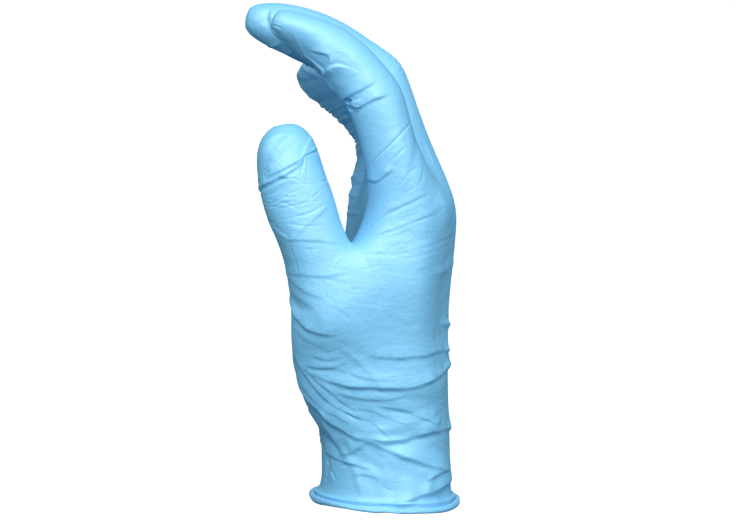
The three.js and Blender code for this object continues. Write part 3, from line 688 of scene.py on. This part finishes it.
# %% Folds of the wrist
WRIST_FOLDS = [
    (
        "ridge", 0.88, 1.3, -1, (9, 4),
        [(291, 304), (294, 314), (300, 321), (308, 328), (317, 332), (326, 334)],
    ),
    ("swell", -0.64, 2.4, 0, (6, 3), [(291, 297), (297, 305), (306, 311)]),
    ("ridge", 0.24, 1.0, -1, (3, 2), [(293, 328), (303, 337), (313, 343), (324, 347)]),
    ("crease", 0.24, 0.8, 0, (1, 2), [(321, 352), (329, 352.5), (337, 350)]),
    ("ridge", 0.4, 0.8, -1, (2, 2), [(317, 357), (327, 359.5), (338, 358)]),
    ("ridge", 0.56, 1.0, -1, (3, 3), [(311, 366), (321, 367.5), (332, 367), (342, 363.5)]),
    (
        "ridge", 1.04, 1.6, -1, (12, 16),
        [(338, 381.5), (346, 383.5), (360, 385), (380, 386.5), (400, 387.5), (416, 385.5), (431, 379),
         (442, 372), (450, 364)],
    ),
    ("ridge", 0.4, 1.2, -1, (3, 3), [(330, 366), (346, 370), (362, 375), (378, 378), (394, 378)]),
    ("ridge", 0.42, 1.2, -1, (3, 3), [(343, 394), (357, 397), (371, 398), (386, 398.5), (402, 396)]),
    (
        "ridge", 0.72, 1.3, -1, (4, 14),
        [(378, 356), (390, 357), (404, 355.5), (421, 354.5), (434, 352), (449, 349)],
    ),
    ("swell", 0.72, 1.1, 0, (5, 8), [(444, 323.5), (447, 324), (449, 324)]),
    ("swell", 0.4, 0.7, 0, (2, 6), [(445, 350), (447, 350), (449, 350)]),
    ("swell", 0.56, 0.9, 0, (2, 8), [(445, 365), (447, 364), (450, 363)]),
    ("swell", -0.24, 3.2, 0, (5, 6), [(430, 333), (440, 338), (448, 338)]),
    ("ridge", 0.59, 1.2, -1, (3, 4), [(385, 406), (399, 409), (410, 411), (421, 416), (433, 421)]),
    ("ridge", 0.38, 1.0, -1, (3, 4), [(360, 408), (374, 411), (388, 417), (402, 421)]),
    (
        "ridge", 0.59, 0.9, -1, (8, 2),
        [(303, 371), (312, 383), (322, 394), (334, 404), (346, 411), (360, 418)],
    ),
    ("ridge", 0.42, 0.8, -1, (3, 2), [(306, 370), (318, 381), (330, 391), (342, 401), (354, 409)]),
    ("ridge", 0.42, 0.8, -1, (1, 3), [(346, 411), (359, 417), (371, 422), (380, 428), (389, 435)]),
    (
        "ridge", 1.76, 2.3, -1, (9, 2),
        [(307, 396), (316, 406), (328, 418), (339, 427), (350, 434), (362, 439)],
    ),
    ("ridge", 0.3, 0.8, -1, (4, 2), [(303, 384), (312, 396), (323, 406), (336, 414), (348, 421)]),
    (
        "ridge", 0.88, 1.5, -1, (2, 8),
        [(360, 438), (371, 442), (382, 446), (394, 450.5), (406, 455), (418, 459), (431, 464), (444, 469)],
    ),
    (
        "ridge", 1.2, 1.8, -1, (4, 16),
        [(370, 438), (388, 439.5), (400, 438.5), (412, 436), (424, 432.5), (437, 429.5), (450, 427)],
    ),
    ("swell", 0.42, 2.2, 0, (6, 8), [(378, 431), (395, 429), (412, 424), (430, 421)]),
    ("ridge", 0.7, 1.5, -1, (2, 3), [(341, 455), (347, 452.5), (354, 449.5), (360, 444.5), (368, 442)]),
    ("ridge", 0.78, 1.2, -1, (4, 2), [(326, 451), (335, 456.5), (345, 460), (355, 462.5), (368, 468)]),
    ("ridge", 1.1, 1.5, -1, (4, 1), [(325, 424), (332, 434), (338, 443), (342, 452)]),
    ("swell", -0.86, 1.9, 0, (2, 2), [(328, 440), (334, 447), (339, 451)]),
    ("swell", 0.42, 1.6, 0, (3, 3), [(343, 436), (349, 443), (352, 448)]),
    ("ridge", 0.47, 1.0, -1, (1, 2), [(354, 475), (363, 473), (373, 475), (381, 478)]),
    ("crease", 0.47, 1.2, 0, (1, 1), [(327, 462), (331, 471), (336, 480)]),
    ("swell", -0.55, 1.8, 0, (3, 3), [(324, 452), (328, 464), (326, 478)]),
    (
        "ridge", 1.52, 2.2, -1, (2, 10),
        [(400, 503.5), (405, 502), (411, 499.5), (422, 495), (432, 490.5), (441, 485), (450, 478)],
    ),
    ("swell", 0.39, 1.8, 0, (3, 3), [(424, 496), (429, 485), (434, 475), (444, 470)]),
    ("ridge", 0.55, 1.1, -1, (2, 3), [(428, 478), (436, 473), (446, 469)]),
    ("swell", -0.78, 2.2, 0, (2, 3), [(440, 498), (447, 490)]),
    ("swell", 0.39, 1.6, 0, (3, 1), [(357, 476), (360, 485), (363, 495)]),
    ("swell", -0.31, 1.8, 0, (3, 1), [(371, 478), (374, 487), (376, 495)]),
    ("swell", 0.31, 1.8, 0, (3, 1), [(385, 466), (387, 477), (387, 489)]),
]

# %% [markdown]
# ## Folds that the picture hides
# The same film goes all the way round. The swags of the wrist run on across its back and round to the palm,
# the inner side of each bent joint gathers a bundle of creases, and its outer side has a few fine lines.

# %% Folds round the wrist, by bearing and height
ROUND_FOLDS = [
    ("ridge", 1.0, 1.8, -1, (8, 10), [(10, 44), (35, 41), (60, 43), (85, 49), (110, 55)]),
    ("ridge", 0.9, 1.6, -1, (8, 8), [(25, 27), (50, 24), (80, 26), (110, 33), (135, 40)]),
    ("ridge", 0.7, 1.3, -1, (8, 8), [(70, 60), (95, 57), (120, 60), (150, 66)]),
    ("ridge", 0.8, 1.5, -1, (8, 8), [(95, 17), (120, 14), (145, 17), (170, 24)]),
    ("ridge", 0.9, 1.6, 1, (8, 8), [(150, 47), (170, 42), (190, 38), (210, 36)]),
    ("ridge", 0.7, 1.3, -1, (6, 8), [(160, 29), (180, 26), (200, 27)]),
    ("crease", 0.4, 1.2, 0, (6, 6), [(30, 60), (50, 63), (75, 70)]),
    ("crease", 0.4, 1.1, 0, (6, 6), [(55, 34), (75, 35), (95, 40)]),
    ("ridge", 0.8, 1.6, -1, (5, 6), [(60, 12), (80, 9), (100, 8), (120, 10)]),
]

# %% Folds of the little finger's side
LITTLE_FOLDS = [
    ("crease", 0.5, 1.2, 0, (4, 4), [(-12, 104), (-4, 101), (6, 102)]),
    ("ridge", 0.5, 1.1, -1, (4, 4), [(-14, 97), (-5, 93), (5, 92)]),
    ("crease", 0.35, 1.0, 0, (4, 6), [(-6, 86), (3, 83), (12, 84)]),
    ("ridge", 0.5, 1.1, -1, (6, 6), [(-10, 74), (0, 69), (10, 68)]),
    ("crease", 0.4, 0.9, 0, (5, 3), [(-14, 144), (-9, 141), (-5, 140)]),
    ("crease", 0.4, 0.9, 0, (5, 3), [(-13, 140), (-8, 137), (-3, 137)]),
]

# %% Folds inside and outside the bent fingers' joints
# the joint's place, how far the finger leans there in degrees, and half its breadth
FINGER_JOINTS = [
    ((-2.4, -9, 156.6), 38, 9),
    ((-25.5, -9, 173.4), 65, 8),
    ((-4, 14.5, 151.3), 30, 8.5),
    ((-21.4, 16, 169.3), 57, 7.5),
    ((-2.4, 37.4, 139.5), 24, 8),
    ((-16.9, 40, 152.5), 51, 7),
]
# kind, height, breadth, how far along the finger its two ends lie, and how far its middle lies from them
INSIDE_FOLDS = [
    ("crease", 1.0, 0.9, -2.2, -1.2, 0.8),
    ("crease", 0.8, 0.8, 0.3, 1.4, -0.6),
    ("ridge", 0.7, 0.9, 3.0, 2.4, 0.6),
    ("crease", 0.5, 0.8, -4.6, -5.4, 0.8),
]
OUTSIDE_FOLDS = [
    ("crease", 0.25, 0.8, -2.4, -1.6, 0.7),
    ("crease", 0.3, 0.8, 0.4, -0.2, 0.8),
    ("crease", 0.2, 0.7, 2.6, 3.4, 0.6),
]


FINGER_SIGHT = 15
ACROSS_SHARE = 0.6


def beside_joint(joint, lean, outward):
    """How a place across and along the finger is seen from just in front of the joint, or behind it."""
    lean = math.radians(lean)
    along = Vector((-math.sin(lean), 0, math.cos(lean)))
    away = Vector((math.cos(lean), 0, math.sin(lean))) * outward

    def sight(place):
        point = Vector(joint) + Vector((0, place[0], 0)) + along * place[1]
        return point + away * FINGER_SIGHT, -away

    return sight


finger_folds = []
for joint, lean, half in FINGER_JOINTS:
    for outward, rows in ((-1, INSIDE_FOLDS), (1, OUTSIDE_FOLDS)):
        side = f"joint {joint} {outward}"
        SIDES[side] = beside_joint(joint, lean, outward)
        for kind, height, breadth, first, last, sag in rows:
            middle = (first + last) / 2 + sag
            places = [(-ACROSS_SHARE * half, first), (0, middle), (ACROSS_SHARE * half, last)]
            finger_folds.append((side, kind, height, breadth, 0, (3, 3), places))
print("folds at the fingers' joints", len(finger_folds))

# %% Folds of the palm
PALM_FOLDS = [
    ("crease", 0.6, 1.3, 0, (4, 4), [(-22, 92), (-8, 96), (6, 95), (20, 90)]),
    ("crease", 0.6, 1.3, 0, (4, 4), [(-14, 78), (-2, 84), (12, 82), (24, 76)]),
    ("ridge", 0.6, 1.3, -1, (5, 5), [(-12, 58), (0, 56), (12, 58), (24, 62)]),
    ("swell", -0.6, 2.4, 0, (4, 4), [(-19, 86), (-17, 72), (-11, 58)]),
    ("crease", 0.7, 1.1, 0, (2, 2), [(-37, 119), (-30, 117), (-24, 119)]),
    ("crease", 0.7, 1.1, 0, (2, 2), [(-16, 121), (-9, 119), (-2, 121)]),
    ("crease", 0.7, 1.1, 0, (2, 2), [(5, 120), (12, 118), (19, 119)]),
    ("crease", 0.7, 1.1, 0, (2, 2), [(25, 110), (31, 108), (38, 110)]),
    ("crease", 0.4, 0.9, 0, (2, 2), [(-15, 125), (-9, 124), (-4, 126)]),
    ("crease", 0.4, 0.9, 0, (2, 2), [(6, 124), (12, 123), (18, 124)]),
    ("ridge", 0.6, 1.3, 1, (5, 5), [(-6, 66), (6, 70), (18, 70), (28, 66)]),
]

SIDE_FOLDS = [
    ("thumb", INDEX_FOLDS),
    ("thumb", FAR_FOLDS),
    ("thumb", THUMB_FOLDS),
    ("thumb", HAND_FOLDS),
    ("thumb", WRIST_FOLDS),
    ("round", ROUND_FOLDS),
    ("little", LITTLE_FOLDS),
    ("palm", PALM_FOLDS),
]
for side, folds in SIDE_FOLDS:
    for kind, height, breadth, lean, tails, places in folds:
        fold(side, kind, height, breadth, lean, tails, places)
for row in finger_folds:
    fold(*row)
print("folds", laid, "highest", round(lift.max(), 2), "deepest", round(lift.min(), 2))

# %% [markdown]
# ## Small wrinkles
# Between the folds the film has soft swells and fine, short wrinkles. They are scattered by a fixed seed.
# Each starts at a random point of its zone, heads roughly along the zone's own direction, and wanders over
# the surface.

# %% Scatter the small wrinkles
dice = random.Random(11)
WRINKLE_ZONES = [
    # centre, radius, heading, how many, longest, highest
    ((-40, -37, 118), 16, (0.3, 0, -0.2), 26, 12, 0.22),
    ((-30, -36, 95), 20, (1, 0, 0.15), 26, 14, 0.2),
    ((-22, -30, 80), 16, (1, 0, -0.2), 14, 14, 0.2),
    ((-15, -25, 50), 22, (1, 0, -0.5), 30, 16, 0.22),
    ((10, -25, 45), 22, (1, 0, -0.1), 26, 16, 0.2),
    ((0, -30, 20), 24, (1, 0, -0.2), 30, 14, 0.2),
    ((15, -28, 100), 22, (1, 0, 0.6), 30, 16, 0.18),
    ((-5, -30, 150), 12, (1, 0, 0.5), 16, 8, 0.22),
    ((-28, -30, 168), 14, (1, 0, 0.8), 14, 8, 0.18),
    ((20, 0, 60), 26, (0, 1, 0.1), 34, 16, 0.22),
    ((20, 0, 25), 26, (0, 1, -0.1), 34, 16, 0.22),
    ((18, 5, 105), 24, (0, 0.3, 1), 30, 14, 0.18),
    ((0, 35, 45), 24, (1, 0, 0.1), 34, 16, 0.22),
    ((0, 38, 85), 24, (1, 0, 0.2), 26, 14, 0.2),
    ((-8, 36, 125), 18, (1, 0.2, 0.1), 22, 8, 0.22),
    ((-15, 10, 70), 26, (0, 1, 0.1), 34, 14, 0.24),
    ((-20, 5, 30), 26, (0, 1, -0.1), 34, 14, 0.22),
    ((-8, 0, 140), 22, (0, 1, 0), 30, 8, 0.25),
    ((-30, 5, 165), 22, (0, 1, 0), 26, 8, 0.2),
    ((13, -9, 140), 16, (0, 0.2, 1), 12, 12, 0.16),
    ((6, 12, 135), 16, (0, 0.2, 1), 12, 12, 0.16),
    ((5, -30, 140), 16, (0, 0.2, 1), 10, 12, 0.16),
    ((3, 36, 125), 16, (0, 0.3, 1), 12, 12, 0.18),
    ((0, -9, 172), 14, (0, 1, 0), 10, 8, 0.16),
    ((0, 15, 165), 14, (0, 1, 0), 10, 8, 0.16),
    ((0, 38, 148), 12, (0, 1, 0), 10, 8, 0.16),
]
SOFT_ZONES = [
    # the same, for the swells
    ((-8, -28, 45), 24, (1, 0, -0.6), 14, 26, 0.35),
    ((12, -26, 45), 24, (1, 0, 0.1), 12, 26, 0.3),
    ((0, -30, 18), 24, (1, 0, -0.3), 14, 22, 0.4),
    ((10, -30, 92), 20, (1, 0, 0.45), 9, 24, 0.2),
    ((-33, -36, 105), 22, (1, 0, 0.2), 10, 14, 0.22),
    ((20, 5, 50), 32, (0, 1, 0.1), 14, 26, 0.35),
    ((20, 5, 100), 26, (0, 0.2, 1), 8, 24, 0.22),
    ((0, 36, 55), 30, (1, 0, 0.15), 14, 26, 0.35),
    ((-18, 8, 45), 30, (0, 1, 0.1), 14, 26, 0.35),
]
BEAD_ZONE = 6


def starts_within(centre, radius):
    """The points where a zone's wrinkles may start. The bead's come in a new order each run, so it is fixed."""
    inside = np.flatnonzero(np.linalg.norm(guide_points - np.array(centre), axis=1) < radius)
    on_bead = guide_points[inside, 2] < BEAD_ZONE
    rows = inside[on_bead]
    inside[on_bead] = rows[np.lexsort(np.round(guide_points[rows], 2).T)]
    return inside


for centre, radius, heading, count, longest, highest in SOFT_ZONES:
    inside = starts_within(centre, radius)
    for _ in range(count):
        point = Vector(guide_points[int(inside[dice.randrange(len(inside))])])
        direction = Vector(heading) + Vector([dice.uniform(-0.25, 0.25) for _ in range(3)])
        length = longest * dice.uniform(0.5, 1)
        path = [point, *run_on(point, direction, length, dice.uniform(-0.015, 0.015))]
        height = highest * dice.uniform(0.5, 1) * dice.choice((1, -1))
        press(
            path,
            "swell",
            height,
            dice.uniform(1.3, 2.6),
            0,
            (length * 0.4, length * 0.4),
            dice.uniform(0, 50),
        )
for centre, radius, heading, count, longest, highest in WRINKLE_ZONES:
    inside = starts_within(centre, radius)
    for _ in range(count):
        start = int(inside[dice.randrange(len(inside))])
        point = Vector(guide_points[start])
        direction = Vector(heading) + Vector([dice.uniform(-0.45, 0.45) for _ in range(3)])
        direction *= dice.choice((-1, 1))
        length = longest * dice.uniform(0.35, 1)
        path = [point, *run_on(point, direction, length, dice.uniform(-0.03, 0.03))]
        kind = dice.choice(("ridge", "crease", "crease"))
        tail = length * 0.4
        press(
            path,
            kind,
            highest * dice.uniform(0.4, 1),
            dice.uniform(0.6, 1.0),
            dice.choice((-1, 0, 1)),
            (tail, tail),
            dice.uniform(0, 50),
        )
print("small wrinkles", sum(zone[3] for zone in WRINKLE_ZONES))

# %% Move the film by its folds
# where folds cross, the film doesn't sink through its lining, so its depth levels out
DEEPEST = 1.9
sunk = lift < 0
lift[sunk] = -DEEPEST * np.tanh(-lift[sunk] / DEEPEST)
move_points(film, skin_points + skin_normals * lift[:, None] + lap)
print("film moved by", round(lift.min(), 2), "to", round(lift.max(), 2), "mm")

# %% [markdown]
# ## Thin the mesh and join the lining
# The fine mesh has far more triangles than its smooth parts need. Decimate keeps them where the folds are.

# %% Decimate and join
MOST_TRIANGLES = 180_000
pick(film)
thinning = film.modifiers.new("thinning", "DECIMATE")
thinning.ratio = MOST_TRIANGLES / (2 * len(film.data.polygons))
bpy.ops.object.modifier_apply(modifier="thinning")
pick(film, lining)
bpy.ops.object.join()
film.name = film.data.name = "glove_film"
bpy.ops.object.shade_smooth()
film.data.calc_loop_triangles()
print("film", len(film.data.loop_triangles), "triangles")

# %% [markdown]
# ## Nitrile
# Nitrile is a satin rubber: a light blue all through, with a broad soft highlight. A worn glove shows a fine
# crepe that runs round it, and on that the finer grain of the dip.

# %% Make the film's material
FILM_BLUE = (0.235, 0.595, 0.88)
FILM_BLUE_DEEP = (0.2, 0.56, 0.855)

nitrile = bpy.data.materials.new("nitrile_film")
nitrile.use_nodes = True
nodes, links = nitrile.node_tree.nodes, nitrile.node_tree.links
shader = nodes["Principled BSDF"]
place = nodes.new("ShaderNodeTexCoord")


def add_noise(scale, detail, roughness=0.5):
    node = nodes.new("ShaderNodeTexNoise")
    node.inputs["Scale"].default_value = scale
    node.inputs["Detail"].default_value = detail
    node.inputs["Roughness"].default_value = roughness
    links.new(place.outputs["Object"], node.inputs["Vector"])
    return node


tone = add_noise(60, 3)
colours = nodes.new("ShaderNodeMix")
colours.data_type = "RGBA"
colours.inputs["A"].default_value = (*FILM_BLUE, 1)
colours.inputs["B"].default_value = (*FILM_BLUE_DEEP, 1)
links.new(tone.outputs["Fac"], colours.inputs["Factor"])
links.new(colours.outputs["Result"], shader.inputs["Base Color"])

gloss = nodes.new("ShaderNodeMapRange")
gloss.inputs["To Min"].default_value = 0.48
gloss.inputs["To Max"].default_value = 0.6
links.new(add_noise(180, 2).outputs["Fac"], gloss.inputs["Value"])
links.new(gloss.outputs["Result"], shader.inputs["Roughness"])


def add_ripple(height, strength, distance, below=None):
    """A bump node, laid on top of another one's normals."""
    node = nodes.new("ShaderNodeBump")
    node.inputs["Strength"].default_value = strength
    node.inputs["Distance"].default_value = distance * MM
    links.new(height.outputs["Fac"], node.inputs["Height"])
    if below:
        links.new(below.outputs["Normal"], node.inputs["Normal"])
    return node


flatten = nodes.new("ShaderNodeMapping")
flatten.inputs["Scale"].default_value = (1, 1, 2.6)
links.new(place.outputs["Object"], flatten.inputs["Vector"])
crepe = add_noise(120, 4, 0.55)
links.new(flatten.outputs["Vector"], crepe.inputs["Vector"])
broad = add_ripple(crepe, 0.32, 0.8)
fine = add_ripple(add_noise(450, 5, 0.6), 0.5, 0.4, broad)
links.new(fine.outputs["Normal"], shader.inputs["Normal"])
shader.inputs["IOR"].default_value = 1.6
shader.inputs["Specular IOR Level"].default_value = 0.95
film.data.materials.clear()
film.data.materials.append(nitrile)

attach(film, "root")
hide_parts("glove")

# %% [markdown]
# ## The studio
# The picture is a cut-out on white. A white floor, far enough below that no shadow shows, and a white wall
# behind give the same ground. One broad soft light in front and above models the film, a small one on the
# right and one on top fill it, and one behind lights its back, but leaves no shine at its edges. A faint blue
# world softens the shadows.

# %% Floor
FLOOR_DROP = 0.3
bpy.ops.mesh.primitive_plane_add(size=30, location=(0, 0, -FLOOR_DROP))
floor = bpy.context.object
floor.name = "floor"
white = bpy.data.materials.new("studio_white")
white.use_nodes = True
paper = white.node_tree.nodes["Principled BSDF"]
paper.inputs["Base Color"].default_value = (0.9, 0.9, 0.9, 1)
paper.inputs["Roughness"].default_value = 0.9
paper.inputs["Emission Color"].default_value = (1, 1, 1, 1)
paper.inputs["Emission Strength"].default_value = 1
floor.data.materials.append(white)
floor.visible_diffuse = floor.visible_glossy = floor.visible_transmission = False

# %% Lights
CENTRE = Vector((0, 0, 95)) * MM


def soft_light(name, place, width, height, power):
    """A soft light at a place in metres, turned to the middle of the glove."""
    towards = CENTRE - Vector(place)
    bpy.ops.object.light_add(
        type="AREA", location=place, rotation=towards.to_track_quat("-Z", "Y").to_euler()
    )
    light = bpy.context.object
    light.name = name
    light.data.shape = "RECTANGLE"
    light.data.size, light.data.size_y = width, height
    light.data.energy = power
    return light


soft_light("key", (-0.14, -1.88, 1.38), 3.0, 1.5, 75)
soft_light("right", (1.0, -1.0, 0.4), 0.6, 0.6, 4.2)
soft_light("top", (0.2, -0.3, 1.1), 0.6, 0.6, 1)
soft_light("behind", (0.1, 1.1, 0.5), 0.8, 0.8, 7).visible_glossy = False

world = bpy.data.worlds.new("white_room")
bpy.context.scene.world = world
world.use_nodes = True
backdrop = world.node_tree.nodes["Background"]
backdrop.inputs["Color"].default_value = (0.4, 0.8, 1, 1)
backdrop.inputs["Strength"].default_value = 0.19
bpy.context.scene.view_settings.view_transform = "Standard"

# %% A white wall behind the glove
bpy.ops.mesh.primitive_uv_sphere_add(segments=48, ring_count=24, radius=12, location=(0, 0, 0))
wall = bpy.context.object
wall.name = "white_wall"
wall.data.materials.append(white)
bpy.ops.object.shade_smooth()
wall.visible_diffuse = wall.visible_glossy = wall.visible_transmission = wall.visible_shadow = False
